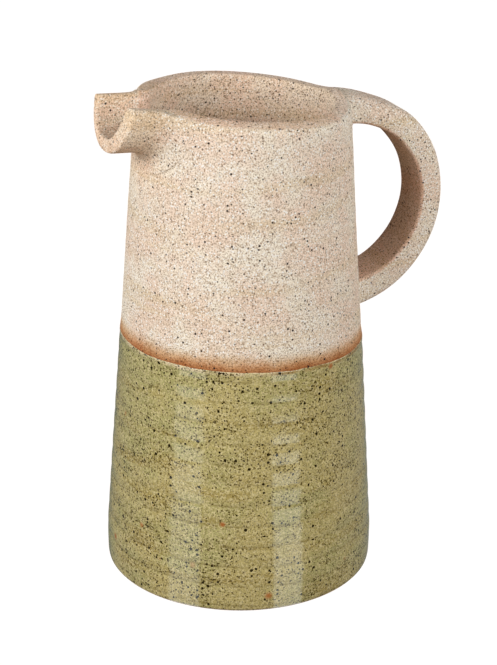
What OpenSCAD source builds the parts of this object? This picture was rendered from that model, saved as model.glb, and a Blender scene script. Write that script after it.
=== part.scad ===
// Stoneware water pitcher: a tapering thrown body with a sloping rim, a flared U-shaped spout and a ring
// of strap for a handle. The foot stands on z = 0, the body's axis is Z, and the handle is on +X.

/* [Body] */
// Height of the rim on the body's axis
body_h = 240; // [180:1:320]
// Diameter that the straight wall would have at the table
base_d = 136.2; // [115:0.5:170]
// Outer diameter at the rim
rim_d = 102; // [90:0.5:112]
// Thickness of the wall
wall = 8; // [5:0.25:11]
// Height of the floor inside, above the table
floor_h = 9; // [6:0.5:16]
// Radius of the inside corner between floor and wall
floor_r = 14; // [6:0.5:24]
// Slope of the rim in degrees, down towards the handle
rim_slope = 4.2; // [0:0.1:6]
// Rounding of the rim's edges
lip_r = 2; // [1:0.1:3.5]

/* [Foot] */
// Height of the rounded heel
heel_h = 19; // [8:0.5:30]
// How far the heel draws in at the table
heel_in = 2.9; // [1:0.1:6]
// Width of the ring that the pot stands on
foot_w = 10; // [6:0.5:18]
// Depth of the hollow under the floor
foot_hollow = 2.5; // [1:0.1:4]

/* [Throwing rings] */
// Height of one ring
ring_pitch = 11; // [7:0.5:18]
// Depth of the groove between two rings
ring_depth = 0.4; // [0.1:0.05:0.8]

/* [Spout] */
// Outer width of the spout
spout_w = 42.5; // [34:0.5:52]
// Outer depth of the spout below the rim
spout_depth = 23.2; // [18:0.2:32]
// Thickness of the spout's side on -Y
spout_near = 8; // [4:0.25:11]
// Thickness of the spout's side on +Y
spout_far = 4.5; // [4:0.25:9]
// Thickness of the spout's bottom
spout_bottom = 6; // [4:0.1:9]
// How far the spout reaches out from the rim
spout_reach = 16.3; // [13:0.5:24]
// Radius of the flare where the spout runs into the wall
spout_flare = 7; // [4:0.5:12]
// Turn of the spout out of line with the handle, in degrees
spout_turn = 4; // [-10:0.5:10]
// Lean of the spout's end in degrees, its bottom furthest out
spout_rake = 5.5; // [0:0.5:12]
// Rounding of the spout's edges
spout_edge = 2; // [1:0.1:2.4]

/* [Handle] */
// Outer radius of the ring
loop_r = 54.5; // [46:0.5:62]
// Radius of the finger space
grip_r = 40.6; // [34:0.5:43]
// Width of the strap
strap_w = 24; // [16:0.5:30]
// How far the ring's centre lies inside the rim's radius
loop_in = 3.2; // [0:0.1:8]
// How far the finger space is set outwards in the ring
grip_out = 2.2; // [0:0.1:5]
// How far the finger space is set upwards in the ring
grip_up = 0.6; // [0:0.1:3]
// Rise of the ring's top above the rim beside it
loop_rise = 1.6; // [0:0.1:3]
// Rounding of the strap's edges
strap_edge = 2; // [0.6:0.1:3]

/* [Slip and glaze] */
// Thickness of the slip in the joints
slip_t = 0.6; // [0.3:0.1:1.2]
// How far the slip squeezes out round the handle's ends
slip_out = 1.2; // [0:0.1:2]
// Height of the glaze's edge on the axis
glaze_h = 122.7; // [70:0.1:126]
// Slope of the glaze's edge in degrees, down towards the handle
glaze_slope = 1.6; // [0:0.1:4]
// Height of the band above the table that is wiped clean of glaze
glaze_foot = 2; // [1:0.1:6]
// Thickness of the glaze
glaze_t = 0.5; // [0.3:0.1:1.2]
// Height of the rusty line above the glaze
line_h = 3.8; // [2:0.1:6]
// Thickness of the rusty line
line_t = 0.25; // [0.1:0.05:0.5]
// Depth of the bare band inside, below the rim
liner_drop = 34; // [32:1:80]
// Thickness of the liner glaze
liner_t = 0.5; // [0.3:0.1:1]

/* [Hidden] */
$fn = 96;
clay = [0.80, 0.70, 0.58];
slip = [0.76, 0.66, 0.55];
olive = [0.52, 0.52, 0.30];
rust = [0.58, 0.36, 0.18];
clear = [0.72, 0.66, 0.56];
rim_r = rim_d / 2;
taper = (base_d - rim_d) / 2 / body_h;
rim_drop = rim_r * tan(rim_slope);
// The tilted rim cuts the cone in an oval whose middle lies this far towards the handle
rim_shift = rim_r * taper * sin(rim_slope);
top_z = body_h + 2 * rim_drop + 4;
reach_all = base_d + 2 * (loop_r + spout_reach);
slack = 1;
// Most that the glaze's sloping edge rises or falls from its height on the axis
glaze_rise = base_d / 2 * tan(glaze_slope) + slack;
loop_x = rim_r - loop_in;
loop_z = body_h - rim_drop + loop_rise - loop_r;
ring_lo = heel_h + 5;
ring_top = min(glaze_h, loop_z - loop_r) - 6;
ring_n = floor((ring_top - ring_lo) / ring_pitch);
ring_hi = ring_lo + ring_n * ring_pitch;
heel_steps = 10;
ring_steps = 4;
arc_steps = 5;
// A rounded lip stops short of upright by this angle, so that it crosses the wall cleanly
lip_stop = 12;

// Profile of the body
function wall_r(z) = base_d / 2 - taper * z;
function heel(z) = z >= heel_h ? 0 : heel_in * (1 - sqrt(1 - pow(1 - z / heel_h, 2)));
function ring(z) = z <= ring_lo || z >= ring_hi ? 0
    : ring_depth * (1 - cos(360 * (z - ring_lo) / ring_pitch)) / 2;
function outer_r(z) = wall_r(z) - heel(z) - ring(z);
heights = concat(
    [for (i = [0 : heel_steps]) heel_h * (1 - cos(90 * i / heel_steps))],
    [for (i = [0 : ring_n * ring_steps]) ring_lo + i * ring_pitch / ring_steps]);
function arc(c, r, a, b) = [for (i = [0 : arc_steps])
    let (t = a + (b - a) * i / arc_steps) [c[0] + r * cos(t), c[1] + r * sin(t)]];

// The outside of the body from height lo to height hi, grown outwards by extra
module turned(lo, hi, extra) {
    inner = [for (z = heights) if (z > lo && z < hi) z];
    levels = concat([lo], inner, [hi]);
    rotate_extrude()
        polygon(concat([[0, lo]], [for (z = levels) [outer_r(z) + extra, z]], [[0, hi]]));
}

// The inside of the body up to height hi, shrunk by extra
module hollow(hi, extra) {
    r = floor_r - extra;
    bottom = floor_h + extra;
    corner = wall_r(bottom + r) - wall - extra - r;
    rotate_extrude()
        polygon(concat([[0, bottom]], arc([corner, bottom + r], r, -90, 0),
            [[wall_r(hi) - wall - extra, hi], [0, hi]]));
}

// The straight upper wall as a full cone, grown by extra, for the joints
module wall_cone(extra) {
    translate([0, 0, ring_hi])
        cylinder(h = top_z - ring_hi, r1 = wall_r(ring_hi) + extra, r2 = wall_r(top_z) + extra);
}

// Everything above a plane through the axis at height z, sloping down towards the handle
module above(z, slope) {
    translate([0, 0, z]) rotate([0, slope, 0])
        translate([-reach_all, -reach_all, 0]) cube([2 * reach_all, 2 * reach_all, top_z]);
}

module rim_frame() translate([0, 0, body_h]) rotate([0, rim_slope, 0]) children();
module spout_frame() rim_frame() rotate([0, 0, spout_turn]) children();
module loop_frame() translate([loop_x, 0, loop_z]) rotate([90, 0, 0]) children();

// Ring that rounds the rim's outer edge, left whole where the spout and the handle land
module outer_lip_cut() {
    run = lip_r / 4;
    edge = concat([[rim_r - lip_r, slack]], arc([rim_r - lip_r, -lip_r], lip_r, 90, lip_stop));
    foot = edge[len(edge) - 1];
    land_w = spout_w + 2 * spout_flare;
    difference() {
        rim_frame() translate([rim_shift, 0, 0]) rotate_extrude()
            polygon(concat(edge, [foot + [run, -run / tan(lip_stop)],
                [rim_r + wall, foot[1] - run / tan(lip_stop)], [rim_r + wall, slack]]));
        spout_frame() translate([-reach_all, -land_w / 2, -top_z]) cube([reach_all, land_w, 2 * top_z]);
        translate([0, -strap_w / 2 - slip_out, 0]) cube([reach_all, strap_w + 2 * slip_out, 2 * top_z]);
    }
}

// Ring that rounds the rim's inner edge
module inner_lip_cut() {
    r = rim_r - wall;
    run = lip_r / 4;
    edge = concat([[r + lip_r, slack]], arc([r + lip_r, -lip_r], lip_r, 90, 180 - lip_stop));
    foot = edge[len(edge) - 1];
    rim_frame() translate([rim_shift, 0, 0]) rotate_extrude()
        polygon(concat(edge, [foot + [-run, -run / tan(lip_stop)],
            [r - wall, foot[1] - run / tan(lip_stop)], [r - wall, slack]]));
}

// Half of an oval trough: y runs across and z down from the rim
spout_hw = spout_w / 2;
channel_hw = spout_hw - (spout_near + spout_far) / 2;
// The thinner side sets the channel off from the spout's middle
channel_y = (spout_near - spout_far) / 2;
channel_depth = spout_depth - spout_bottom;
trough_steps = 24;
trough_power = 2.2;
channel_power = 1.8;
function oval(s, power) = sign(s) * pow(abs(s), 2 / power);
function trough(hw, depth, power) = [for (i = [0 : trough_steps])
    let (t = 180 * i / trough_steps) [hw * oval(cos(t), power), -depth * oval(sin(t), power)]];
channel_line = [for (p = trough(channel_hw, channel_depth, channel_power)) p + [channel_y, 0]];
// Direction square to the trough's outside at each of its points
outwards = [for (i = [0 : trough_steps])
    let (t = 180 * i / trough_steps, v = [cos(t) / spout_hw, -sin(t) / spout_depth]) v / norm(v)];

// The channel, cut through the wall along the spout
module channel() {
    spout_frame() translate([-reach_all, 0, 0]) rotate([90, 0, 90]) linear_extrude(reach_all - rim_r / 2)
        polygon(concat([[channel_y + channel_hw, top_z]], channel_line, [[channel_y - channel_hw, top_z]]));
}

// One ring of the spout's skin: out and back along its outside and inside, with the top edges eased.
// grow moves the outside outwards, inset draws both skins in at the end, and at gives each point's x.
function skin(grow, inset, at) = let (
    o = trough(spout_hw, spout_depth, trough_power),
    outside = [for (i = [0 : trough_steps]) o[i] + outwards[i] * (grow - inset)],
    inside = [for (i = [trough_steps : -1 : 0]) channel_line[i] + outwards[i] * min(inset, spout_edge / 2)],
    loop = concat(outside, inside))
    [for (p = loop) [at(p), p[0], p[1]]];

tip_x = -rim_r - spout_reach;
function end_x(p) = tip_x + tan(spout_rake) * p[1];
// The wall's surface beside the spout, which runs almost square to the sloping rim
function wall_x(y) = -sqrt(max(0, pow(rim_r, 2) - pow(y, 2)));
flare_end = 65;
flare_steps = 6;
sink = 1.5;
function flare_grow(a) = spout_flare * (1 - cos(a));
function flare_gap(a) = spout_flare * (1 - sin(a));
end_rings = [for (a = [0, 45, 90])
    skin(0, spout_edge * (1 - sin(a)), function(p) end_x(p) + spout_edge * (1 - cos(a)))];
flare_rings = [for (i = [0 : flare_steps]) let (a = flare_end * i / flare_steps)
    skin(flare_grow(a), 0, function(p) wall_x(p[0]) - flare_gap(a))];
sink_ring = skin(flare_grow(flare_end) + (flare_gap(flare_end) + sink) * tan(flare_end), 0,
    function(p) wall_x(p[0]) + sink);
root_ring = [for (p = sink_ring) [-rim_r / 3, p[1], p[2]]];

module spout_skin() {
    rings = concat(end_rings, flare_rings, [sink_ring, root_ring]);
    m = len(rings[0]);
    last = len(rings) - 1;
    sides = [for (j = [0 : last - 1]) for (i = [0 : m - 1]) let (k = (i + 1) % m)
        each [[j * m + i, j * m + k, (j + 1) * m + k], [j * m + i, (j + 1) * m + k, (j + 1) * m + i]]];
    // Strips from the outside to the inside close the end and the root
    caps = [for (i = [0 : trough_steps - 1]) let (a = m - 1 - i, r = last * m)
        each [[a, i + 1, i], [a, a - 1, i + 1], [r + i, r + i + 1, r + a], [r + i + 1, r + a - 1, r + a]]];
    polyhedron([for (r = rings) each r], concat(sides, caps), convexity = 6);
}

// The strap ring, grown by extra all round
module strap_ring(extra) {
    e = strap_edge;
    w = strap_w / 2 + extra;
    r = loop_r + extra;
    g = grip_r - extra;
    loop_frame() difference() {
        rotate_extrude()
            polygon(concat([[0, -w]], arc([r - e, e - w], e, -90, 0), arc([r - e, w - e], e, 0, 90),
                [[0, w]]));
        translate([grip_out, grip_up, 0]) rotate_extrude()
            polygon(concat([[0, -w - slack], [g + e, -w - slack]], arc([g + e, e - w], e, 270, 180),
                arc([g + e, w - e], e, 180, 90), [[g + e, w + slack], [0, w + slack]]));
    }
}

// Coats on the wall stop where the handle's ends and their slip sit on it
module clear_of_handle() difference() {
    children();
    strap_ring(slip_out);
}

// Slip on the wall under whatever is joined there
module slip_coat() intersection() {
    children();
    difference() {
        wall_cone(slip_t);
        wall_cone(0);
    }
}

module body() color(clay) difference() {
    turned(0, top_z, 0);
    hollow(top_z + slack, 0);
    translate([0, 0, -slack])
        cylinder(h = foot_hollow + slack, r = outer_r(0) - foot_w);
    above(body_h, rim_slope);
    outer_lip_cut();
    inner_lip_cut();
    channel();
}

module spout() color(clay) difference() {
    spout_frame() spout_skin();
    wall_cone(slip_t);
}

module handle() color(clay) difference() {
    strap_ring(0);
    wall_cone(slip_t);
}

module spout_slip() color(slip) slip_coat() spout_frame() spout_skin();

module handle_top_slip() color(slip) slip_coat() intersection() {
    strap_ring(slip_out);
    above(loop_z, 0);
}

module handle_foot_slip() color(slip) slip_coat() difference() {
    strap_ring(slip_out);
    above(loop_z, 0);
}

module outer_glaze() color(olive) clear_of_handle() difference() {
    turned(glaze_foot, glaze_h + glaze_rise, glaze_t);
    turned(0, top_z, 0);
    above(glaze_h, glaze_slope);
}

module iron_line() color(rust) clear_of_handle() difference() {
    turned(glaze_h - glaze_rise, glaze_h + glaze_rise + line_h, line_t);
    turned(0, top_z, 0);
    above(glaze_h + line_h, glaze_slope);
    mirror([0, 0, 1]) above(-glaze_h, -glaze_slope);
}

module liner_glaze() color(clear) difference() {
    hollow(body_h - liner_drop, 0);
    hollow(top_z, liner_t);
}

body();
spout();
handle();
spout_slip();
handle_top_slip();
handle_foot_slip();
outer_glaze();
iron_line();
liner_glaze();
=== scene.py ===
import math

import bmesh
import bpy
from mathutils import Matrix, Quaternion, Vector, noise


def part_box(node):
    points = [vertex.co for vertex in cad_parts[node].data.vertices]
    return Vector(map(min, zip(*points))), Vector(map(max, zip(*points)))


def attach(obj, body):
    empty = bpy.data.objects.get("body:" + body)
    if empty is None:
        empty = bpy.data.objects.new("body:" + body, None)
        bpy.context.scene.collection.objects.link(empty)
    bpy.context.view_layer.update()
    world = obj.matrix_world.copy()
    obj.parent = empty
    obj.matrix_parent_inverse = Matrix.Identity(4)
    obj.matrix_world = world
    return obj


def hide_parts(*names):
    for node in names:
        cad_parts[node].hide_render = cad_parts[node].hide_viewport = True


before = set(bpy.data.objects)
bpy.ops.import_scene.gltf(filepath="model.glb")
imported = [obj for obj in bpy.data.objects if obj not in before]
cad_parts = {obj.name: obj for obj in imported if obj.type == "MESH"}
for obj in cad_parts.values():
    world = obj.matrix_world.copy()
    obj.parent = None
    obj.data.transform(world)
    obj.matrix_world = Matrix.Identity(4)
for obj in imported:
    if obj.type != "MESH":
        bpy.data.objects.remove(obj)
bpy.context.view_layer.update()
scene = bpy.context.scene
scene.view_settings.view_transform = "Standard"
mm = 0.001
print("frame:", len(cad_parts), "nodes loaded")

# Camera at the photo's viewing angle
shot = {
    "eye": Vector((-0.34192, -0.84902, 0.50144)),
    "aim": Vector((0.00364, -0.00146, 0.11952)),
    "roll": math.radians(0.664),
    "lens": 108.45,
}


def makeCamera():
    camera = bpy.data.objects.new("camera", bpy.data.cameras.new("camera"))
    look = (shot["aim"] - shot["eye"]).to_track_quat("-Z", "Y")
    camera.location = shot["eye"]
    camera.rotation_mode = "QUATERNION"
    camera.rotation_quaternion = look @ Quaternion((0, 0, 1), shot["roll"])
    camera.data.lens = shot["lens"]
    scene.collection.objects.link(camera)
    scene.camera = camera


makeCamera()
print("camera: set at the photo's angle")


# Colours are written as they look on screen, from 0 to 255
def paint(red, green, blue):
    def linear(part):
        part = part / 255
        return part / 12.92 if part <= 0.04045 else ((part + 0.055) / 1.055) ** 2.4
    return (linear(red), linear(green), linear(blue), 1)


def blend(low, high, x):
    t = min(1, max(0, (x - low) / (high - low)))
    return t * t * (3 - 2 * t)


# Node helpers: inputs take a value, or a socket to link
def feed(tree, socket, value):
    if isinstance(value, bpy.types.NodeSocket):
        tree.links.new(value, socket)
    else:
        socket.default_value = value


def addNode(tree, kind, inputs=None, **settings):
    made = tree.nodes.new(kind)
    for key, value in settings.items():
        setattr(made, key, value)
    for key, value in (inputs or {}).items():
        feed(tree, made.inputs[key], value)
    return made


def sums(tree, operation, first, second=0.0, third=0.0):
    return addNode(tree, "ShaderNodeMath", {0: first, 1: second, 2: third}, operation=operation).outputs[0]


def vectors(tree, operation, first, second=(0, 0, 0)):
    made = addNode(tree, "ShaderNodeVectorMath", {0: first, 1: second}, operation=operation)
    return made.outputs["Value" if operation in ("DOT_PRODUCT", "LENGTH") else "Vector"]


def mixColours(tree, share, first, second, how="MIX"):
    inputs = {0: share, 6: first, 7: second}
    return addNode(tree, "ShaderNodeMix", inputs, data_type="RGBA", blend_type=how).outputs[2]


def ramp(tree, value, low, high, start=0.0, end=1.0):
    inputs = {"Value": value, "From Min": low, "From Max": high, "To Min": start, "To Max": end}
    return addNode(tree, "ShaderNodeMapRange", inputs, interpolation_type="SMOOTHSTEP").outputs[0]


def newGroup(name, inputs, outputs):
    tree = bpy.data.node_groups.new(name, "ShaderNodeTree")
    for title, kind in inputs:
        tree.interface.new_socket(title, in_out="INPUT", socket_type=kind)
    for title, kind in outputs:
        tree.interface.new_socket(title, in_out="OUTPUT", socket_type=kind)
    return tree, tree.nodes.new("NodeGroupInput").outputs, tree.nodes.new("NodeGroupOutput").inputs


def placeGroup(tree, group, inputs):
    return addNode(tree, "ShaderNodeGroup", inputs, node_tree=group).outputs


# Grains: one grain in a share of the cells, each of its own size
def makeGrains():
    tree, given, out = newGroup(
        "grains",
        [("Vector", "NodeSocketVector"), ("Scale", "NodeSocketFloat"), ("Share", "NodeSocketFloat"),
         ("Size", "NodeSocketFloat"), ("Soft", "NodeSocketFloat")],
        [("Mask", "NodeSocketFloat")])
    cells = addNode(tree, "ShaderNodeTexVoronoi", {"Vector": given["Vector"], "Scale": given["Scale"]})
    chance = addNode(tree, "ShaderNodeSeparateColor", {0: cells.outputs["Color"]}).outputs
    picked = sums(tree, "LESS_THAN", chance[0], given["Share"])
    size = sums(tree, "MULTIPLY", given["Size"], sums(tree, "MULTIPLY_ADD", chance[1], 0.8, 0.5))
    edge = sums(tree, "MULTIPLY", size, sums(tree, "SUBTRACT", 1.0, given["Soft"]))
    dot = ramp(tree, cells.outputs["Distance"], size, edge)
    tree.links.new(sums(tree, "MULTIPLY", dot, picked), out["Mask"])
    return tree


grains = makeGrains()


# Settings of grains: cells to the metre, share of the cells, size and softness
def specks(tree, spot, scale, share, size, soft):
    inputs = {"Vector": spot, "Scale": scale, "Share": share, "Size": size, "Soft": soft}
    return placeGroup(tree, grains, inputs)["Mask"]


def clouds(tree, spot, scale, detail, stretch=(1, 1, 1)):
    moved = addNode(tree, "ShaderNodeMapping", {"Vector": spot, "Scale": stretch}).outputs[0]
    inputs = {"Vector": moved, "Scale": scale, "Detail": detail, "Roughness": 0.6}
    return addNode(tree, "ShaderNodeTexNoise", inputs).outputs["Fac"]


# Settings of cloudy masks: scale, detail, range of the noise, least and most of the mask, stretch
def cloudMask(tree, spot, scale, detail, low, high, least=0.0, most=1.0, stretch=(1, 1, 1)):
    return ramp(tree, clouds(tree, spot, scale, detail, stretch), low, high, least, most)


# Bare grogged clay: cream, pink and tan patches, sandy grain, pale grog and dark specks
bareClay = {
    "cream": paint(253, 244, 226),
    "pink": paint(249, 227, 207),
    "pinkPatches": (38, 3, 0.38, 0.62),
    "tan": paint(237, 217, 183),
    "tanBands": (150, 2, 0.45, 0.75, 0.0, 0.7, (0.08, 0.08, 1)),
    "sand": paint(158, 127, 92),
    "sandClouds": (1500, 2),
    "sandRange": (0.41, 0.68, 0.0, 0.85),
    "grog": paint(255, 252, 246),
    "grogGrains": (950, 0.66, 0.43, 0.35),
    "brown": paint(98, 66, 34),
    "brownGrains": (860, 0.27, 0.36, 0.45),
    "dark": paint(40, 22, 8),
    "darkGrains": (450, 0.36, 0.22, 0.2),
    "gritGrains": (800, 0.28, 0.36, 0.3),  # more brown grains inside the mouth
    # tints of the clay on the rim, and painted shade inside the mouth, inside the handle and towards the
    # spout
    "rim": (1, 0.9, 0.86, 1),
    # painted shade: the clay inside the mouth is darker and warmer
    "inside": (0.93, 0.85, 0.79, 1),
    # painted shade: darker, redder clay over the handle's finger space, where the ring shades it
    "gripShade": (0.88, 0.71, 0.64, 1),
    # painted warm shade on the spout, its channel and the wall beside it
    "spout": (1, 0.92, 0.84, 1),
    # where those tints begin and are full: depth in from the outer wall, and place
    "rimFrom": (0.8 * mm, 2.4 * mm),
    "rimTo": (8 * mm, 6 * mm),
    "insideFrom": (5 * mm, 8 * mm),
    "gripShadeFrom": (1.8 * mm, 0.8 * mm),  # over the finger space
    "handleFrom": (-0.5 * mm, -2 * mm),
    "spoutFrom": (-44 * mm, -54 * mm),
    "spoutAbove": (195 * mm, 215 * mm),
}


def makeClayGroup():
    tree, given, out = newGroup(
        "bare clay", [("Vector", "NodeSocketVector")],
        [("Color", "NodeSocketColor"), ("Height", "NodeSocketFloat")])
    spot = given["Vector"]
    patches = cloudMask(tree, spot, *bareClay["pinkPatches"])
    colour = mixColours(tree, patches, bareClay["cream"], bareClay["pink"])
    colour = mixColours(tree, cloudMask(tree, spot, *bareClay["tanBands"]), colour, bareClay["tan"])
    grain = clouds(tree, spot, *bareClay["sandClouds"])
    colour = mixColours(tree, ramp(tree, grain, *bareClay["sandRange"]), colour, bareClay["sand"])
    grog, brown, dark = (specks(tree, spot, *bareClay[name + "Grains"]) for name in ("grog", "brown", "dark"))
    for mask, strength, name in ((grog, 0.9, "grog"), (brown, 0.85, "brown"), (dark, 1.0, "dark")):
        colour = mixColours(tree, sums(tree, "MULTIPLY", mask, strength), colour, bareClay[name])
    pits = sums(tree, "SUBTRACT", sums(tree, "MULTIPLY", grog, 0.6), sums(tree, "ADD", brown, dark))
    tree.links.new(colour, out["Color"])
    tree.links.new(sums(tree, "MULTIPLY_ADD", grain, 0.8, pits), out["Height"])
    return tree


clayGroup = makeClayGroup()

# Sizes that the pieces share, as in the frame but for a fuller heel and a glaze that slopes to the back too
pot = {
    "height": 240 * mm,  # rim on the axis
    "baseRadius": 68.1 * mm,  # where the straight wall would meet the table
    "rimRadius": 51 * mm,
    "wall": 8 * mm,
    "rimSlope": math.radians(4.2),  # down towards the handle
    "slopeFrom": 185 * mm,  # the wall leans into the slope above this
    "heelHeight": 19 * mm,
    "heelIn": 1.5 * mm,
    "heelCurve": 1.4,
    "footRound": (0.8 * mm, 3 * mm),  # rounding of the foot's edge, in and up
    "glazeHeight": 121.9 * mm,
    "glazeFall": (0.0363, 0.0209),  # of the glaze's edge, towards the handle and the back
    "glazeWaver": ((0.5 * mm, 2.5, 7), (0.25 * mm, 9, 11)),  # height, lumps round the pot, seed
    "ringPitch": 10.5 * mm,
    "ringFrom": 15 * mm,
    "ringFade": (10 * mm, 4 * mm),  # below and above that height
    "groove": 0.16 * mm,
    "grooveSharp": 10,
    "wave": 0.1 * mm,
    "markLumps": (1.3, 45),  # how the marks' strength changes, round the pot and up it
    "bareMarks": 0.3,  # share of the marks that is left on the bare clay
    "bareFade": 4 * mm,
    "uneven": 0.3 * mm,
    "unevenLumps": (1.1, 14),
    "turnSteps": 192,
}


def wallRadius(z):
    return pot["baseRadius"] - (pot["baseRadius"] - pot["rimRadius"]) * z / pot["height"]


def heelIn(z):
    wide, high = pot["footRound"]
    low = max(0, 1 - max(0, z) / pot["heelHeight"])
    edge = max(0, 1 - max(0, z) / high)
    return pot["heelIn"] * low ** pot["heelCurve"] + wide * (1 - math.sqrt(1 - edge ** 2))


# Smooth noise on a wall, by its lumps round the pot and up it
def lumps(angle, z, around, up, seed=0):
    return noise.noise(Vector((around * math.cos(angle), around * math.sin(angle), up * z + seed)))


# Finger marks of the throwing: narrow spiral grooves, soft waves between them and a slow unevenness
def throwing(angle, z):
    turn = z / pot["ringPitch"] + angle / math.tau
    wave = math.cos(math.tau * turn)
    groove = (0.5 + 0.5 * wave) ** pot["grooveSharp"]
    strength = 0.8 + 0.7 * lumps(angle, z, *pot["markLumps"])
    glazed = blend(pot["glazeHeight"] + pot["bareFade"], pot["glazeHeight"] - pot["bareFade"], z)
    below, above = pot["ringFade"]
    shown = blend(pot["ringFrom"] - below, pot["ringFrom"] + above, z)
    shown *= pot["bareMarks"] + (1 - pot["bareMarks"]) * glazed
    slow = lumps(angle, z, *pot["unevenLumps"], 3)
    marks = -strength * (groove * pot["groove"] + wave * pot["wave"]) * shown
    return marks + slow * pot["uneven"] * blend(0, pot["ringFrom"], z)


def outerRadius(angle, z):
    return wallRadius(z) - heelIn(z) + throwing(angle, z)


# Height of the glaze's edge, which slopes a little and wavers
def glazeEdge(angle):
    x, y = math.cos(angle), math.sin(angle)
    fall = (x * pot["glazeFall"][0] + y * pot["glazeFall"][1]) * wallRadius(pot["glazeHeight"])
    waver = sum(high * lumps(angle, 0, around, 0, seed) for high, around, seed in pot["glazeWaver"])
    return pot["glazeHeight"] - fall + waver


def roundAxis(angle, radius, z):
    return Vector((radius * math.cos(angle), radius * math.sin(angle), z))


def arc(centre, radius, start, end, steps):
    turns = [math.radians(start + (end - start) * i / steps) for i in range(steps + 1)]
    return [(centre[0] + radius * math.cos(t), centre[1] + radius * math.sin(t)) for t in turns]


def span(low, high, step):
    count = max(1, round(abs(high - low) / step))
    return [low + (high - low) * i / count for i in range(count + 1)]


def startChain(bm, spots, closed=False):
    ring = [bm.verts.new(spot) for spot in spots]
    for a, b in zip(ring, ring[1:] + ring[:1] if closed else ring[1:]):
        bm.edges.new((a, b))
    return ring


# Spins a profile of radius and height points round the pot's axis
def turnProfile(profile):
    bm = bmesh.new()
    chain = startChain(bm, [(r, 0, z) for r, z in profile])
    bmesh.ops.spin(bm, geom=chain + chainEdges(bm, chain, False), cent=(0, 0, 0), axis=(0, 0, 1),
                   angle=math.tau, steps=pot["turnSteps"], use_merge=True)
    bmesh.ops.remove_doubles(bm, verts=bm.verts, dist=0.001 * mm)
    bmesh.ops.recalc_face_normals(bm, faces=bm.faces)
    return bm


def chainEdges(bm, ring, closed=True):
    after = ring[1:] + ring[:1] if closed else ring[1:]
    return [bm.edges.get(pair) for pair in zip(ring, after)]


# Pulls the next ring of a loft out of the last one and puts its points in their places
def growRing(bm, ring, spots):
    made = bmesh.ops.extrude_edge_only(bm, edges=chainEdges(bm, ring))["geom"]
    fresh = {part for part in made if isinstance(part, bmesh.types.BMVert)}
    grown = []
    for vert, spot in zip(ring, spots):
        far = next(e.other_vert(vert) for e in vert.link_edges if e.other_vert(vert) in fresh)
        far.co = spot
        grown.append(far)
    return grown


def loft(rings):
    bm = bmesh.new()
    first = startChain(bm, rings[0], closed=True)
    last = first
    for spots in rings[1:]:
        last = growRing(bm, last, spots)
    return bm, first, last


def closeEnds(bm, ends):
    for end in ends:
        bmesh.ops.contextual_create(bm, geom=chainEdges(bm, end))
    bmesh.ops.recalc_face_normals(bm, faces=bm.faces)


def placeMesh(bm, name):
    mesh = bpy.data.meshes.new(name)
    bm.to_mesh(mesh)
    bm.free()
    placed = bpy.data.objects.new(name, mesh)
    scene.collection.objects.link(placed)
    return placed


def showPiece(bm, name, material, sharp=40):
    piece = placeMesh(bm, name)
    mesh = piece.data
    mesh.shade_smooth()
    mesh.set_sharp_from_angle(angle=math.radians(sharp))
    mesh.materials.append(material)
    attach(piece, "root")
    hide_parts(name.replace("fired_", ""))
    print(name + ":", len(mesh.polygons), "faces")


# Frame of the sloping rim
rimFrame = Matrix.Translation((0, 0, pot["height"])) @ Matrix.Rotation(pot["rimSlope"], 4, "Y")

# Spout: a flared U trough, its far side the thinner one
trough = {
    "half": {"far": 19.8 * mm, "near": 22.5 * mm},
    "power": {"far": 2.2, "near": 2.2},
    "depth": 23.2 * mm,
    "channelHalf": {"far": 15.5 * mm, "near": 14.5 * mm},
    "channelPower": {"far": 3, "near": 1.7},
    "channelDepth": 17 * mm,
    "topEdge": {"far": 1.5 * mm, "near": 2.4 * mm},
    "reach": 16.3 * mm,
    "tipLift": 0.9 * mm,  # the near side rises to the tip
    "farLift": 0.6 * mm,
    "tipEdge": 1.2 * mm,
    "nearRound": 0.7 * mm,  # more rounding of the tip on the near side
    "nearBack": 2.2 * mm,  # the near top corner leans back
    "middle": 4 * mm,  # half width over which the near side changes to the far one
    "liftFrom": 0.92,  # where the lift begins, as a share of the rim's radius
    "nearRoll": 0.7,  # shares of the roll that are taken back at the wall
    "farRoll": 0.6,
    "wornTo": 1.1,  # where the rim's wear ends on the spout, as a share of the rim's radius
    "flare": 7 * mm,
    "flareMost": 1.1,
    "farLess": 0.5,  # share of the flare that the far side lacks
    "dip": 1 * mm,  # the near side's outer edge goes down and in under the rim
    "tuck": 3 * mm,
    "tuckDepth": 8 * mm,
    "sunk": 2.5 * mm,  # into the wall
    "turn": math.radians(4),
    "roll": math.radians(4),  # its near side highest
    "rollAxis": -8 * mm,
    "rake": math.radians(5.5),
    "steps": 28,
}
# Frame of the spout, which is turned and rolled in the rim's
rollPivot = Matrix.Translation((0, 0, trough["rollAxis"]))
spoutFrame = (rimFrame @ Matrix.Rotation(trough["turn"], 4, "Z") @ rollPivot
              @ Matrix.Rotation(-trough["roll"], 4, "X") @ rollPivot.inverted())


# The trough's section as across, up and outward direction, from the far top edge to the near one
def troughChain(half, depth, power, side):
    edges = trough["topEdge"]

    def topEdge(name, hand):
        edge = edges[name]
        rows = [(hand * (half[name] - side * 1.25 * edge), 0, hand, 0)]
        for across, up in arc((0, -edge), edge, 90, 0, 4)[:-1]:
            rows.append((hand * (half[name] + side * (across - edge)), up, hand, 0))
        return rows

    def lowest(name):
        return math.asin((edges[name] / depth) ** (power[name] / 2))

    points = []
    start, stop = lowest("far"), math.pi - lowest("near")
    for i in range(trough["steps"] + 1):
        t = start + (stop - start) * i / trough["steps"]
        name = "far" if t < math.pi / 2 else "near"
        across = math.copysign(abs(math.cos(t)) ** (2 / power[name]), math.cos(t)) * half[name]
        up = -depth * math.sin(t) ** (2 / power[name])
        out = Vector((math.cos(t) / half[name], -math.sin(t) / depth)).normalized()
        points.append((across, up, out.x, out.y))
    return topEdge("far", 1) + points + topEdge("near", -1)[::-1]


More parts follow.
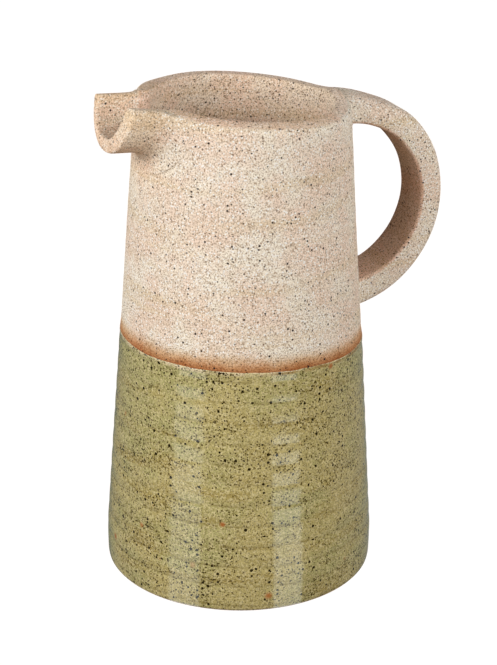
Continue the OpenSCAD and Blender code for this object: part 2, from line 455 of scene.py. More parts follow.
outside = troughChain(trough["half"], trough["depth"], trough["power"], 1)
inside = troughChain(trough["channelHalf"], trough["channelDepth"], trough["channelPower"], -1)


def wallAt(across, radius=pot["rimRadius"]):
    return -math.sqrt(max(0, radius ** 2 - across ** 2))


# How far the outside of the rim's front is worn down, more towards the outside and less further below
def wornAway(angle, across, below):
    turn = math.degrees(angle)
    worn = thrown["frontWorn"] * min(1, max(0, across)) ** 2 * blend(thrown["wornDepth"], 0, below)
    for start, full in thrown["wornTurns"]:
        worn *= blend(start, full, turn)
    return worn


# A point of the section as the flare grows, and how far the flare has grown
def flared(point, grow):
    across, up, outX, outZ = point
    fade = min(trough["flareMost"], grow / trough["flare"])
    spread = grow * (1 - trough["farLess"] * max(0, outX))
    near = 1 - blend(-trough["middle"], trough["middle"], across)
    drop = trough["dip"] * fade ** 2 * near * max(0, 1 + up / trough["depth"])
    tuck = trough["tuck"] * fade ** 3 * near * max(0, 1 + up / trough["tuckDepth"])
    return tuck, across + outX * spread, up + outZ * spread - drop, fade


# Lifts the top edges: the near one climbs from the wall to the tip, and the far one bends up to the rim
def spoutSpot(x, y, z, fade=0):
    begin = trough["liftFrom"] * pot["rimRadius"]
    out = min(1, max(0, (-begin - x) / (trough["reach"] + pot["rimRadius"] - begin)))
    rolled = y * math.sin(trough["roll"])
    near = trough["tipLift"] * out + trough["nearRoll"] * rolled * (1 - out)
    far = trough["farLift"] + (rolled - trough["farLift"]) * trough["farRoll"] * min(1, fade) ** 3
    share = blend(-trough["middle"], trough["middle"], y)
    lift = near + (far - near) * share
    spot = spoutFrame @ Vector((x, y, z + lift * max(0, 1 + z / trough["depth"])))
    radius = math.hypot(spot.x, spot.y)
    across = 1 - (pot["rimRadius"] - radius) / pot["wall"]
    worn = wornAway(math.atan2(spot.y, spot.x), across, -z)
    spot.z -= worn * blend(trough["wornTo"] * pot["rimRadius"], pot["rimRadius"], radius)
    return spot


# One ring of the spout: place gives each point's distance along the spout
def spoutRing(grow, place):
    ring = []
    for point in outside:
        tuck, y, z, fade = flared(point, grow)
        ring.append(spoutSpot(place(y, z) + tuck, y, z, fade))
    for y, z, _, _ in inside[::-1]:
        ring.append(spoutSpot(place(y, z), y, z, grow / trough["flare"]))
    return ring


def tipAt(y, z):
    back = trough["nearBack"] * max(0, -y / trough["half"]["near"]) * max(0, 1 + z / trough["depth"]) ** 2
    return -pot["rimRadius"] - trough["reach"] + math.tan(trough["rake"]) * z + back


# One ring of the tip's rounding, which is larger on the near side's outer face
def tipRing(angle):
    ring = []
    for chain, hand, extra in ((outside, -1, trough["nearRound"]), (inside[::-1], 1, 0)):
        for across, up, outX, outZ in chain:
            edge = trough["tipEdge"] + extra * max(0, -outX)
            inset = hand * edge * (1 - math.sin(angle))
            y, z = across + outX * inset, up + outZ * inset
            ring.append(spoutSpot(tipAt(y, z) + edge * (1 - math.cos(angle)), y, z))
    return ring


def makeSpout(material):
    flare = trough["flare"]
    rings = [spoutRing(flare * trough["flareMost"], lambda y, z: wallAt(y) + trough["sunk"])]
    for degrees in (80, 68, 56, 44, 32, 20, 10, 0):
        a = math.radians(degrees)
        gap = flare * (1 - math.sin(a))
        rings.append(spoutRing(flare * (1 - math.cos(a)), lambda y, z: wallAt(y) - gap))
    root, rounding = rings[-1], tipRing(math.pi / 2)
    for share in (0.35, 0.7):
        rings.append([a.lerp(b, share) for a, b in zip(root, rounding)])
    for degrees in (90, 65, 40, 15):
        rings.append(tipRing(math.radians(degrees)))
    bm, first, last = loft(rings)
    half = len(outside)
    for ring in (first, last):
        sides = chainEdges(bm, ring[:half], False) + chainEdges(bm, ring[half:], False)
        bmesh.ops.bridge_loops(bm, edges=sides)
    bmesh.ops.recalc_face_normals(bm, faces=bm.faces)
    showPiece(bm, "fired_spout", material)


# Cutter for the channel through the wall: wider at the top edge and inside, where it rounds over
notch = {
    "room": 0.1 * mm,  # between the cut and the spout's channel
    "flare": 5 * mm,
    "high": 30 * mm,
    "from": -80 * mm,
    "to": -20 * mm,
    "past": 1.5 * mm,  # how far the rounding runs on past the inner wall
}


def makeNotchCutter():
    flare = notch["flare"]

    def ring(grow, place):
        spots = []
        grow += notch["room"]
        for across, up, outX, outZ in inside:
            y, z = across + outX * grow, up + outZ * grow
            spots.append(spoutFrame @ Vector((place(y), y, z)))
        for end in (inside[-1], inside[0]):
            y = end[0] + end[2] * grow
            spots.append(spoutFrame @ Vector((place(y), y, notch["high"])))
        return spots

    innerRadius = pot["rimRadius"] - pot["wall"]
    rings = [ring(0, lambda y: notch["from"]), ring(0, lambda y: wallAt(y, innerRadius) - flare)]
    for degrees in (12, 24, 36, 48, 60, 70):
        a = math.radians(degrees)
        gap = flare * (1 - math.sin(a))
        rings.append(ring(flare * (1 - math.cos(a)), lambda y: wallAt(y, innerRadius) - gap))
    far = flare * (1 - math.cos(a)) + (gap + notch["past"]) * math.tan(a)
    rings.append(ring(far, lambda y: wallAt(y, innerRadius) + notch["past"]))
    rings.append(ring(far, lambda y: notch["to"]))
    bm, first, last = loft(rings)
    closeEnds(bm, (first, last))
    return placeMesh(bm, "notchCutter")


# Body: wall, floor and foot ring turned in one piece, with a notch for the spout
thrown = {
    "floor": 9 * mm,
    "floorCorner": 14 * mm,
    "lip": 2.0 * mm,
    "innerLip": 1.2 * mm,
    # waves of the rim: height, and middle and spread in degrees; the first is the rise to the handle
    "waves": ((2.6 * mm, 0, 14), (-0.9 * mm, 122, 18)),
    "footWidth": 10 * mm,
    "footHollow": 2.5 * mm,
    "footEdge": 0.8 * mm,
    "rimUneven": 0.5 * mm,
    "rimLumps": (1.7, 0, 5),
    "frontWorn": 3.2 * mm,  # the front of the rim slopes down outwards by this much
    "wornDepth": 14 * mm,
    "wornTurns": ((-168, -125), (-15, -55)),  # degrees at which this begins and is full, from both sides
}


def bodyProfile():
    top, wall, lip, inLip = pot["height"], pot["wall"], thrown["lip"], thrown["innerLip"]
    corner = thrown["floorCorner"]
    low = thrown["floor"] + corner
    bend = wallRadius(low) - wall - corner
    foot = wallRadius(0) - heelIn(0)
    inner = [(wallRadius(z) - wall, z) for z in span(low, top - lip, 3 * mm)[1:-1]]
    heel = [pot["heelHeight"] * (1 - math.cos(math.radians(9 * i))) for i in range(11)]
    outer = [(wallRadius(z), z) for z in span(top - lip, heel[-1], 1.5 * mm)[1:-1]]
    hollowAt = foot - thrown["footWidth"]
    profile = [(0, thrown["floor"]), (bend / 2, thrown["floor"])]
    profile += arc((bend, low), corner, -90, 0, 8) + inner
    profile += arc((pot["rimRadius"] - wall + inLip, top - inLip), inLip, 180, 90, 5)
    profile += arc((pot["rimRadius"] - lip, top - lip), lip, 90, 0, 6) + outer
    profile += [(wallRadius(z) - heelIn(z), z) for z in reversed(heel)]
    profile += [(hollowAt + thrown["footEdge"], 0), (hollowAt, thrown["footEdge"])]
    profile += [(hollowAt, thrown["footHollow"] - thrown["footEdge"])]
    profile += [(hollowAt - thrown["footEdge"], thrown["footHollow"]), (0, thrown["footHollow"])]
    return profile


def rimLift(angle):
    lift = thrown["rimUneven"] * lumps(angle, 0, *thrown["rimLumps"]) * math.sin(angle) ** 2
    for height, middle, spread in thrown["waves"]:
        lift += height * math.exp(-((math.degrees(angle) - middle) / spread) ** 2)
    return lift


def settleWall(co):
    angle = math.atan2(co.y, co.x)
    radius = math.hypot(co.x, co.y)
    if radius < 1 * mm:
        return co
    share = max(0, (co.z - pot["slopeFrom"]) / (pot["height"] - pot["slopeFrom"]))
    drop = co.x * math.tan(pot["rimSlope"])
    across = 1 - (wallRadius(co.z) - radius) / pot["wall"]
    z = co.z + (rimLift(angle) - drop) * share - wornAway(angle, across, pot["height"] - co.z)
    radius += wallRadius(z) - wallRadius(co.z)
    if co.z > thrown["floor"] + thrown["floorCorner"] or radius > wallRadius(z) - pot["wall"] / 2:
        radius += throwing(angle, z)
    return roundAxis(angle, radius, z)


def makeBody(material):
    bm = turnProfile(bodyProfile())
    for vert in bm.verts:
        vert.co = settleWall(vert.co)
    uncut = placeMesh(bm, "uncut")
    cutter = makeNotchCutter()
    cut = uncut.modifiers.new("notch", "BOOLEAN")
    cut.object = cutter
    cut.solver = "EXACT"
    done = bpy.data.meshes.new_from_object(uncut.evaluated_get(bpy.context.evaluated_depsgraph_get()))
    bm = bmesh.new()
    bm.from_mesh(done)
    bpy.data.objects.remove(uncut)
    bpy.data.objects.remove(cutter)
    showPiece(bm, "fired_body", material)


# Handle: a strap bent into a ring, thinner outwards
strap = {
    "radius": 54.5 * mm,
    "gripRadius": 40.6 * mm,
    "gripOut": 2.2 * mm,
    "gripUp": 0.6 * mm,
    "width": 24 * mm,
    "outerEdge": 3.5 * mm,
    "rimRound": 6 * mm,  # more rounding of the near edge where it runs up to the rim
    "rimRoundFrom": (35, 80),  # degrees at which that begins and is full
    "innerEdge": 1.6 * mm,
    "centreIn": 3.2 * mm,
    "rise": 1.6 * mm,
    "sink": 2 * mm,
    "overRim": 3.5 * mm,  # its upper face runs on over the rim
    # bulges of the outside: height, and middle and spread in degrees
    "bulges": ((1.1 * mm, 35, 26), (0.6 * mm, 50, 10), (-0.9 * mm, 70, 14), (0.6 * mm, 100, 12),
               (0.5 * mm, -95, 14)),
    "ends": (100, -100),  # degrees round the ring, top and foot
    "steps": 72,
    "uneven": 0.25 * mm,
    "unevenLumps": (3, 60),
}
loopX = pot["rimRadius"] - strap["centreIn"]
loopZ = pot["height"] - pot["rimRadius"] * math.tan(pot["rimSlope"]) + strap["rise"] - strap["radius"]


def gripRadiusAt(angle):
    along = strap["gripOut"] * math.cos(angle) + strap["gripUp"] * math.sin(angle)
    aside = strap["gripOut"] * math.sin(angle) - strap["gripUp"] * math.cos(angle)
    return along + math.sqrt(strap["gripRadius"] ** 2 - aside ** 2)


# Section points at degrees round the ring: side, face, depth under the face and outward direction
def strapSection(degrees):
    half = strap["width"] / 2
    points = []
    for hand, face, start in ((1, 1, 0), (-1, 1, 90), (-1, -1, 180), (1, -1, 270)):
        edge = strap["outerEdge"] if face > 0 else strap["innerEdge"]
        if hand < 0 < face:
            edge += strap["rimRound"] * blend(*strap["rimRoundFrom"], degrees)
        for across, out in arc((0, 0), 1, start, start + 90, 5):
            side = hand * (half - edge) + across * edge
            points.append((side, face, (out - face) * edge, Vector((across, out))))
    return points


def strapReach(angle, side, face, depth):
    reach = gripRadiusAt(angle)
    if face > 0:
        reach = strap["radius"]
        for height, middle, spread in strap["bulges"]:
            reach += height * math.exp(-((math.degrees(angle) - middle) / spread) ** 2)
    return reach + depth + lumps(angle, side, *strap["unevenLumps"], face) * strap["uneven"]


# Angle on the ring at which a point of the section meets the wall
def landing(reach, side, top):
    low, high = (math.radians(30), math.radians(150)) if top else (math.radians(-30), math.radians(-175))
    for _ in range(40):
        middle = (low + high) / 2
        x, z = loopX + reach * math.cos(middle), loopZ + reach * math.sin(middle)
        if math.hypot(x, side) > wallRadius(z):
            low = middle
        else:
            high = middle
    return low


def onRing(angle, reach, side):
    return Vector((loopX + reach * math.cos(angle), side, loopZ + reach * math.sin(angle)))


def makeHandle(material):
    start, stop = strap["ends"]
    turns = span(start, stop, (start - stop) / strap["steps"])
    ends = []
    for upper, lower in zip(strapSection(turns[0]), strapSection(turns[-1])):
        top, foot = strapReach(math.pi / 2, *upper[:3]), strapReach(-math.pi / 2, *lower[:3])
        sink = strap["sink"] + strap["overRim"] * max(0, upper[3].y)
        ends.append((landing(top, upper[0], True) + sink / top,
                     landing(foot, lower[0], False) - strap["sink"] / foot))
    rings = []
    for i, degrees in enumerate(turns):
        ring = []
        for (side, face, depth, _), (top, foot) in zip(strapSection(degrees), ends):
            angle = top + (foot - top) * i / strap["steps"]
            ring.append(onRing(angle, strapReach(angle, side, face, depth), side))
        rings.append(ring)
    bm, first, last = loft(rings)
    closeEnds(bm, (first, last))
    showPiece(bm, "fired_handle", material)


# Slip worked into the angle between wall and handle: out along the wall, then up along the strap
collar = {
    "steps": ((-0.4, 1.7), (0.02, 1.6), (0.2, 0.75), (0.6, 0.3), (1.3, 0.06), (1.6, -0.4), (-0.4, -0.6)),
}


def makeCollar(top, name, material):
    rings = []
    hand = -1 if top else 1
    degrees = strap["ends"][0 if top else 1]
    for side, face, depth, outward in strapSection(degrees):
        base = strapReach(math.radians(degrees), side, face, depth)
        ring = []
        for away, up in collar["steps"]:
            y, reach = side + outward.x * away * mm, base + outward.y * away * mm
            spot = onRing(landing(reach, y, top) + hand * up * mm / reach, reach, y)
            rim = pot["height"] - spot.x * math.tan(pot["rimSlope"])
            spot.z = min(spot.z, rim - thrown["lip"])
            ring.append(spot)
        rings.append(ring)
    bm, first, last = loft(rings)
    bmesh.ops.bridge_loops(bm, edges=chainEdges(bm, first) + chainEdges(bm, last))
    bmesh.ops.recalc_face_normals(bm, faces=bm.faces)
    showPiece(bm, name, material, 60)


# Slip smeared round the foot of the spout's flare
smear = {
    "steps": ((0.45, 0.12), (0.62, 0.1), (0.82, 0.07), (1.15, 0.06), (1.55, -0.2), (0.6, -0.9)),
}


def makeSpoutSlip(material):
    flare = trough["flare"]
    chain = outside[3:-3]
    rings = []
    for point in chain:
        ring = []
        for share, lift in smear["steps"]:
            grow = flare * share
            drop = 0
            if share < 1:
                drop = flare - math.sqrt(max(0, flare ** 2 - (flare - grow) ** 2))
            tuck, y, z, fade = flared(point, grow)
            ring.append(spoutSpot(wallAt(y) + tuck - drop - lift * mm, y, min(z, -0.6 * mm), fade))
        rings.append(ring)
    bm, first, last = loft(rings)
    closeEnds(bm, (first, last))
    showPiece(bm, "fired_spout_slip", material, 60)


# Outer glaze: a glassy skin over the lower half with a rolled edge
coat = {
    "foot": 0.7 * mm,
    "thick": 0.3 * mm,
    "sunk": 0.4 * mm,
    "roll": 0.14 * mm,
    "step": 0.6 * mm,
}


def makeOuterGlaze(material):
    top = pot["glazeHeight"]
    edge = coat["thick"] + coat["roll"]
    foot, thick, sunk = coat["foot"], coat["thick"], coat["sunk"]
    rows = [(foot, -sunk), (foot, 0.1 * mm), (foot + 0.25 * mm, thick)]
    rows += [(z, thick) for z in span(foot + 0.8 * mm, top - 3 * mm, coat["step"])]
    rows += [(top - 2.2 * mm, thick + 0.08 * mm), (top - 1.4 * mm, edge), (top - 0.8 * mm, edge)]
    rows += [(top - edge + edge * math.sin(t), edge * math.cos(t)) for t in (0.3, 0.7, 1.1, 1.5)]
    rows.append((top - 0.1 * mm, -sunk))
    rows += [(z, -sunk) for z in span(top - 2 * mm, foot + 1 * mm, 3 * mm)]
    bm = turnProfile([(wallRadius(z) - heelIn(z) + out, z) for z, out in rows + rows[:1]])
    for vert in bm.verts:
        angle = math.atan2(vert.co.y, vert.co.x)
        out = math.hypot(vert.co.x, vert.co.y) - wallRadius(vert.co.z) + heelIn(vert.co.z)
        z = vert.co.z + (glazeEdge(angle) - top) * blend(0.5 * top, top - 2.5 * mm, vert.co.z)
        vert.co = roundAxis(angle, outerRadius(angle, z) + out, z)
    showPiece(bm, "fired_outer_glaze", material)


# Rusty line: iron that bled from under the glaze's edge into the clay
stripe = {
    "height": 3.8 * mm,
    "thick": 0.2 * mm,
    "under": 1.5 * mm,
    "sunk": 0.3 * mm,
}


def makeIronLine(material):
    low, high = -stripe["under"], stripe["height"]
    rows = [(low, -stripe["sunk"]), (low, stripe["thick"])]
    rows += [(h, stripe["thick"] * (1 - (h / high) ** 3)) for h in span(0, high, 0.5 * mm)]
    rows += [(high, -stripe["sunk"])]
    base = pot["glazeHeight"]
    bm = turnProfile([(wallRadius(base + h) + out, base + h) for h, out in rows + rows[:1]])
    for vert in bm.verts:
        angle = math.atan2(vert.co.y, vert.co.x)
        out = math.hypot(vert.co.x, vert.co.y) - wallRadius(vert.co.z)
        z = vert.co.z + glazeEdge(angle) - base
        vert.co = roundAxis(angle, outerRadius(angle, z) + out, z)
    showPiece(bm, "fired_iron_line", material)


# Liner glaze inside, below the bare band
liner = {
    "thick": 0.5 * mm,
    "sunk": 0.4 * mm,
}


def makeLiner(material):
    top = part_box("liner_glaze")[1].z
    corner, wall = thrown["floorCorner"], pot["wall"]
    floor = thrown["floor"]
    low = floor + corner
    bend = wallRadius(low) - wall - corner

    def skin(offset):
        rows = [(0, floor + offset), (bend / 2, floor + offset)]
        rows += arc((bend, low), corner - offset, -90, 0, 8)
        rows += [(wallRadius(z) - wall - offset, z) for z in span(low, top - 1 * mm, 4 * mm)[1:]]
        return rows

    lip = (wallRadius(top) - wall - liner["thick"] * 0.4, top - 0.2 * mm)
    buried = (wallRadius(top) - wall + liner["sunk"], top)
    bm = turnProfile(skin(liner["thick"]) + [lip, buried] + skin(-liner["sunk"])[::-1])
    for vert in bm.verts:
        if vert.co.z > low:
            angle = math.atan2(vert.co.y, vert.co.x)
            radius = math.hypot(vert.co.x, vert.co.y) + throwing(angle, vert.co.z)
            vert.co = roundAxis(angle, radius, vert.co.z)
    showPiece(bm, "fired_liner_glaze", material)


# Rust in the clay: it soaks up light, most at the glaze's edge and none a little way above it
rust = {
    "tint": (0.44, 0.178, 0.064),  # share of the light that is left at the edge
    # millimetres that it reaches above the edge and below it, and by which it wanders
    "reach": 9,
    "below": 2,
    "wander": 5,
    "wanderScale": 70,
    "stops": 4,
    "curve": 1.6,
}


def makeRustGroup():
    tree, given, out = newGroup(
        "rust above the glaze", [("Vector", "NodeSocketVector")],
        [("Tint", "NodeSocketColor"), ("Above", "NodeSocketFloat")])
    lean = vectors(tree, "DOT_PRODUCT", given["Vector"], (*pot["glazeFall"], 1))
    above = sums(tree, "DIVIDE", sums(tree, "SUBTRACT", lean, pot["glazeHeight"]), mm)
    inputs = {"Vector": given["Vector"], "Scale": rust["wanderScale"], "Detail": 4}
    wander = addNode(tree, "ShaderNodeTexNoise", inputs).outputs["Fac"]
    moved = sums(tree, "ADD", above, sums(tree, "MULTIPLY_ADD", wander, rust["wander"], -rust["wander"] / 2))
    fade = sums(tree, "SUBTRACT", 1.0, sums(tree, "DIVIDE", moved, rust["reach"]))
    fade = sums(tree, "MINIMUM", fade, ramp(tree, above, -rust["below"], -rust["below"] / 2))
    fade = addNode(tree, "ShaderNodeClamp", {0: fade}).outputs[0]
    tints = addNode(tree, "ShaderNodeValToRGB", {0: fade})
    stops = tints.color_ramp.elements
    for i in range(rust["stops"] + 1):
        share = i / rust["stops"]
        mark = stops[0] if share == 0 else stops.new(share) if share < 1 else stops[-1]
        mark.color = [part ** (share ** rust["curve"]) for part in rust["tint"]] + [1]
    tree.links.new(tints.outputs[0], out["Tint"])
    tree.links.new(above, out["Above"])
    return tree


rustGroup = makeRustGroup()


def newMaterial(name):
    material = bpy.data.materials.new(name)
    material.use_nodes = True
    tree = material.node_tree
    shader = tree.nodes["Principled BSDF"]
    spot = addNode(tree, "ShaderNodeTexCoord").outputs["Object"]
    return material, tree, shader, spot


def addBump(tree, shader, height, strength, distance):
    inputs = {"Height": height, "Strength": strength, "Distance": distance}
    tree.links.new(addNode(tree, "ShaderNodeBump", inputs).outputs[0], shader.inputs["Normal"])


def makeClay(name, rough, bump):
    material, tree, shader, spot = newMaterial(name)
    clay = placeGroup(tree, clayGroup, {"Vector": spot})
    stain = placeGroup(tree, rustGroup, {"Vector": spot})["Tint"]
    part = addNode(tree, "ShaderNodeSeparateXYZ", {0: spot}).outputs
    radius = vectors(tree, "LENGTH", vectors(tree, "MULTIPLY", spot, (1, 1, 0)))
    taper = (pot["baseRadius"] - pot["rimRadius"]) / pot["height"]
    outer = sums(tree, "MULTIPLY_ADD", part[2], taper, radius)
    depth = sums(tree, "SUBTRACT", pot["baseRadius"], outer)

    def where(value, key, more=0):
        low, high = bareClay[key]
        return ramp(tree, value, low + more, high + more)

    colour = mixColours(tree, 1.0, clay["Color"], stain, "MULTIPLY")
    rim = sums(tree, "MULTIPLY", where(depth, "rimFrom"), where(depth, "rimTo"))
    colour = mixColours(tree, rim, colour, bareClay["rim"], "MULTIPLY")
    # Inside the mouth: painted shade that darkens and warms the clay, and more brown grains
    inner = where(depth, "insideFrom")
    colour = mixColours(tree, inner, colour, bareClay["inside"], "MULTIPLY")
    grit = sums(tree, "MULTIPLY", specks(tree, spot, *bareClay["gritGrains"]), inner)
    colour = mixColours(tree, grit, colour, bareClay["brown"])
    # Painted warm shade on the spout and the wall beside it
    outward = sums(tree, "MULTIPLY", where(part[0], "spoutFrom"), where(part[2], "spoutAbove"))
    colour = mixColours(tree, outward, colour, bareClay["spout"], "MULTIPLY")
    # Painted shade on the clay that faces into the handle's ring
    centre = (loopX + strap["gripOut"], 0, loopZ + strap["gripUp"])
    moved = vectors(tree, "MULTIPLY", vectors(tree, "SUBTRACT", spot, centre), (1, 0, 1))
    handleShade = where(vectors(tree, "LENGTH", moved), "gripShadeFrom", strap["gripRadius"])
    handleShade = sums(tree, "MULTIPLY", handleShade, where(depth, "handleFrom"))
    colour = mixColours(tree, handleShade, colour, bareClay["gripShade"], "MULTIPLY")
    tree.links.new(colour, shader.inputs["Base Color"])
    shader.inputs["Roughness"].default_value = rough
    shader.inputs["Specular IOR Level"].default_value = 0.25
    addBump(tree, shader, clay["Height"], bump, 0.25 * mm)
    return material


# Olive glaze: khaki to green clouds, dense dark specks and a few rust spots under a gloss
olive = {
    "khaki": paint(197, 181, 120),
    "green": paint(182, 175, 116),
    "greenClouds": (30, 3),
    "greenRange": (0.42, 0.64),
    "greenTop": (-25, -4, 0.0, 0.12),  # greener from and to these millimetres above the edge
    "brown": paint(168, 146, 80),
    "brownBands": (110, 3, 0.45, 0.7, 0.0, 0.7, (0.15, 0.15, 1)),
    "pale": paint(220, 206, 154),
    "paleClouds": (850, 2, 0.47, 0.6, 0.0, 0.8),
    # the dark lines are glaze pooled in the grooves and also painted shade that breaks up the glaze's
    # reflected strips
    "poolAndShade": paint(112, 94, 40),  # dark lines in the grooves
    "poolSharp": 30,
    "poolClouds": (95, 2),
    "poolLow": (70 * mm, 20 * mm, 0.0, 0.09),  # more of them lower down
    "poolRange": (0.46, 0.64, 0.0, 0.48),
    "lip": paint(222, 204, 164),
    "lipRust": paint(170, 140, 86),
    "lipRange": (-2.3, -1.1),
    "lipClouds": (160, 2, 0.36, 0.58, 0.25, 0.95),
    "rustSide": (0.928, -0.374, 0),  # where the lip is rusty, not pale
    "rustFrom": (4 * mm, 28 * mm),
    "speck": paint(64, 45, 0),
    "dust": (1500, 2, 0.47, 0.62, 0.0, 0.54),
    "crowd": (75, 2, 0.35, 0.65, 0.1, 0.56, (0.4, 0.4, 1)),  # share of the cells with specks
    "smallScale": 1050,
    "smallSpecks": (0.46, 0.15),
    "black": paint(38, 24, 0),
    "largeScale": 470,
    "largeCrowd": 0.62,  # share of the crowd
    "largeSpecks": (0.32, 0.1),
    "rustSpot": paint(176, 98, 42),
    "rustSpots": (62, 0.8, 0.14, 0.8),
}


def makeOlive():
    material, tree, shader, spot = newMaterial("olive glaze")
    above = placeGroup(tree, rustGroup, {"Vector": spot})["Above"]
    greener = clouds(tree, spot, *olive["greenClouds"])
    greener = sums(tree, "ADD", greener, ramp(tree, above, *olive["greenTop"]))
    colour = mixColours(tree, ramp(tree, greener, *olive["greenRange"]), olive["khaki"], olive["green"])
    colour = mixColours(tree, cloudMask(tree, spot, *olive["brownBands"]), colour, olive["brown"])
    colour = mixColours(tree, cloudMask(tree, spot, *olive["paleClouds"]), colour, olive["pale"])
    part = addNode(tree, "ShaderNodeSeparateXYZ", {0: spot}).outputs
    # Dark ring lines along the throwing grooves: pooled glaze, and painted shade that breaks the reflections
    # into lines
    around = sums(tree, "DIVIDE", sums(tree, "ARCTAN2", part[1], part[0]), math.tau)
    turn = sums(tree, "MULTIPLY_ADD", part[2], 1 / pot["ringPitch"], around)
    ring = sums(tree, "COSINE", sums(tree, "MULTIPLY", turn, math.tau))
    poolAndShade = sums(tree, "POWER", sums(tree, "MULTIPLY_ADD", ring, 0.5, 0.5), olive["poolSharp"])
    thick = clouds(tree, spot, *olive["poolClouds"])
    thick = sums(tree, "ADD", thick, ramp(tree, part[2], *olive["poolLow"]))
    poolAndShade = sums(tree, "MULTIPLY", poolAndShade, ramp(tree, thick, *olive["poolRange"]))
    colour = mixColours(tree, poolAndShade, colour, olive["poolAndShade"])
    thin = cloudMask(tree, spot, *olive["lipClouds"])
    thin = sums(tree, "MULTIPLY", ramp(tree, above, *olive["lipRange"]), thin)
    side = vectors(tree, "DOT_PRODUCT", spot, olive["rustSide"])
    lip = mixColours(tree, ramp(tree, side, *olive["rustFrom"]), olive["lip"], olive["lipRust"])
    colour = mixColours(tree, thin, colour, lip)
    colour = mixColours(tree, cloudMask(tree, spot, *olive["dust"]), colour, olive["speck"])
    crowd = cloudMask(tree, spot, *olive["crowd"])
    small = specks(tree, spot, olive["smallScale"], crowd, *olive["smallSpecks"])
    colour = mixColours(tree, sums(tree, "MULTIPLY", small, 0.9), colour, olive["speck"])
    fewer = sums(tree, "MULTIPLY", crowd, olive["largeCrowd"])
    large = specks(tree, spot, olive["largeScale"], fewer, *olive["largeSpecks"])
    colour = mixColours(tree, large, colour, olive["black"])
    spots = specks(tree, spot, *olive["rustSpots"])
    colour = mixColours(tree, sums(tree, "MULTIPLY", spots, 0.9), colour, olive["rustSpot"])
    tree.links.new(colour, shader.inputs["Base Color"])
    shader.inputs["Roughness"].default_value = 0.12
    shader.inputs["IOR"].default_value = 1.5
    addBump(tree, shader, clouds(tree, spot, 300, 2), 0.15, 0.1 * mm)
    return material


def makeLinerCoat():
    material, tree, shader, spot = newMaterial("liner glaze")
    clay = placeGroup(tree, clayGroup, {"Vector": spot})
    colour = mixColours(tree, 0.7, clay["Color"], paint(196, 180, 158), "MULTIPLY")
    tree.links.new(colour, shader.inputs["Base Color"])
    shader.inputs["Roughness"].default_value = 0.18
    addBump(tree, shader, clay["Height"], 0.15, 0.1 * mm)
    return material


clay = makeClay("bare clay", 0.9, 0.5)
slipped = makeClay("slip", 0.88, 0.35)
rusty = makeClay("rusty clay", 0.75, 0.35)
glaze = makeOlive()
linerCoat = makeLinerCoat()
print("materials: made")

makeBody(clay)
makeSpout(clay)
makeHandle(clay)
makeSpoutSlip(slipped)
makeCollar(True, "fired_handle_top_slip", slipped)
makeCollar(False, "fired_handle_foot_slip", slipped)
makeOuterGlaze(glaze)
makeIronLine(rusty)
makeLiner(linerCoat)
print("pieces: made")

# Studio: soft boxes round the camera's direction, a pale floor and a white surround
studio = {
    "facing": -21.94,  # azimuth of the camera, in degrees
    "ambient": (0.032, 0.025, 0.02, 1),
    "floorSize": 6,
    "floorDiffuse": paint(108, 86, 68),
    "floorGlow": 0.985,
    # the floor as mirrored rays see it, a painted reflection that is dimmer and darker to the sides: glow,
    # tint, further tints by turn from the camera, and diffuse colour
    "mirrorGlow": 0.2,
    "mirrorTint": (0.9, 1, 0.98, 1),
    "mirrorSides": {0: (1, 0.92, 0.4, 1), -110: (0.5, 0.62, 0.66, 1)},
    "mirrorFrom": (0.02, 0.08),  # metres at which those further tints begin and are full
    "mirrorDiffuse": paint(80, 86, 81),
    # turn from the camera, height, distance, width, strength
    "boxes": {"left": (-45, 23.5, 1.3, 0.7, 0.69), "right": (43, 23.5, 1.3, 0.7, 0.56),
              "leftSide": (-85, 18, 1.3, 0.7, 0.29), "rightSide": (100, 18, 1.3, 0.7, 0.2),
              "back": (180, 26, 1.3, 0.7, 0.12)},
    # painted strips of glow, seen only by mirrored rays, that stand in for the soft boxes' reflections: turn
    # from the camera, half width in degrees, nearest and furthest metres, extra glow
    "paintedStrips": {"right": (43, 13, 0, 0.33, 2.4), "left": (-47, 14, 0, 0.46, 1.9)},
    "stripSides": (1.08, 0.92),  # shares of the half width between which a strip fades
    "stripBegin": 0.02,
    "stripEnd": 0.8,
}


def towards(turn, lift=0):
    a, e = math.radians(studio["facing"] + turn), math.radians(lift)
    return Vector((math.sin(a) * math.cos(e), -math.cos(a) * math.cos(e), math.sin(e)))


def makeLights():
    middle = Vector((0, 0, pot["height"] / 2))
    for name, (turn, lift, distance, width, strength) in studio["boxes"].items():
        lamp = bpy.data.objects.new("softBox_" + name, bpy.data.lights.new(name, "AREA"))
        lamp.data.shape = "SQUARE"
        lamp.data.size = width
        lamp.data.energy = strength * math.pi ** 2 * distance ** 2
        lamp.location = middle + towards(turn, lift) * distance
        lamp.rotation_mode = "QUATERNION"
        lamp.rotation_quaternion = (-towards(turn, lift)).to_track_quat("-Z", "Y")
        scene.collection.objects.link(lamp)


# The camera sees a white surround, and other rays a dim warm one
def makeSurround():
    world = bpy.data.worlds.new("surround")
    world.use_nodes = True
    scene.world = world
    tree = world.node_tree
    rays = addNode(tree, "ShaderNodeLightPath").outputs
    mirrored = sums(tree, "MAXIMUM", rays["Is Glossy Ray"], rays["Is Transmission Ray"])
    seen = sums(tree, "MAXIMUM", rays["Is Camera Ray"], mirrored)
    colour = mixColours(tree, seen, studio["ambient"], (1, 1, 1, 1))
    tree.links.new(colour, tree.nodes["Background"].inputs["Color"])
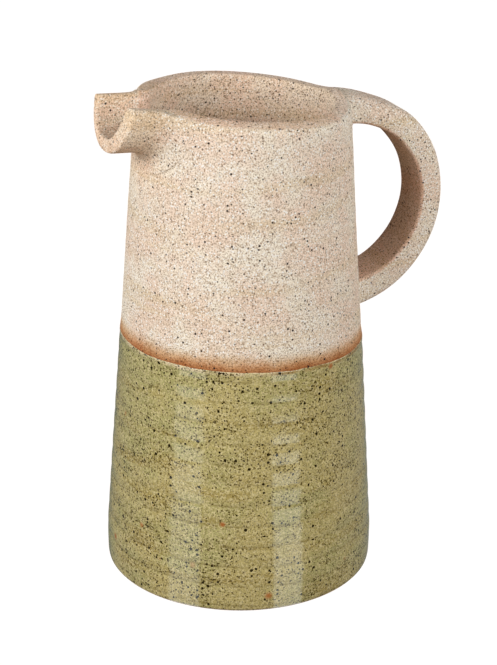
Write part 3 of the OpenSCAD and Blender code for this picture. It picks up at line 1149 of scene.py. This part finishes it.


# Mirrored rays also meet painted reflections on the floor: glowing strips that stand in for the soft boxes,
# and dimmer, tinted sides
def makeFloor():
    bm = bmesh.new()
    bmesh.ops.create_grid(bm, x_segments=8, y_segments=8, size=studio["floorSize"] / 2)
    floor = placeMesh(bm, "floor")
    material, tree, shader, spot = newMaterial("floor")
    tree.nodes.remove(shader)
    rays = addNode(tree, "ShaderNodeLightPath").outputs
    seen = sums(tree, "MAXIMUM", rays["Is Camera Ray"], rays["Is Transmission Ray"])
    glow = sums(tree, "MULTIPLY", seen, studio["floorGlow"])
    glow = sums(tree, "MULTIPLY_ADD", rays["Is Glossy Ray"], studio["mirrorGlow"], glow)
    paintedStrips = 0.0
    for turn, width, near, far, extra in studio["paintedStrips"].values():
        ahead = towards(turn)
        back = math.cos(math.radians(turn / 2)) / 2
        start = (towards(turn / 2) - ahead * back) * pot["baseRadius"]
        moved = vectors(tree, "SUBTRACT", spot, start)
        along = vectors(tree, "DOT_PRODUCT", moved, ahead)
        aside = vectors(tree, "DOT_PRODUCT", moved, (-ahead.y, ahead.x, 0))
        slant = sums(tree, "DIVIDE", sums(tree, "ABSOLUTE", aside), sums(tree, "MAXIMUM", along, 0.001))
        limit = math.tan(math.radians(width))
        across = ramp(tree, slant, *(limit * share for share in studio["stripSides"]))
        begun = ramp(tree, along, near, near + studio["stripBegin"])
        reach = sums(tree, "MULTIPLY", begun, ramp(tree, along, far, far * studio["stripEnd"]))
        strip = sums(tree, "MULTIPLY", sums(tree, "MULTIPLY", across, reach), extra)
        paintedStrips = sums(tree, "ADD", paintedStrips, sums(tree, "MULTIPLY", strip, rays["Is Glossy Ray"]))
    # Painted reflection: for mirrored rays only, the floor is tinted yellowish towards the camera and darker
    # and bluer to the left and behind
    tint = studio["mirrorTint"]
    for turn, side in studio["mirrorSides"].items():
        ahead = vectors(tree, "DOT_PRODUCT", spot, towards(turn))
        tint = mixColours(tree, ramp(tree, ahead, *studio["mirrorFrom"]), tint, side, "MULTIPLY")
    ground = mixColours(tree, 1.0, tint, studio["mirrorDiffuse"], "MULTIPLY")
    ground = mixColours(tree, rays["Is Glossy Ray"], studio["floorDiffuse"], ground)
    whole = addNode(tree, "ShaderNodeBsdfDiffuse", {"Color": ground}).outputs[0]
    tint = mixColours(tree, rays["Is Glossy Ray"], (1, 1, 1, 1), tint)
    for colour, strength in ((tint, glow), (studio["mirrorTint"], paintedStrips)):
        shine = addNode(tree, "ShaderNodeEmission", {"Color": colour, "Strength": strength}).outputs[0]
        whole = addNode(tree, "ShaderNodeAddShader", {0: whole, 1: shine}).outputs[0]
    tree.links.new(whole, tree.nodes["Material Output"].inputs["Surface"])
    floor.data.materials.append(material)


makeLights()
makeSurround()
makeFloor()
print("studio: lit")
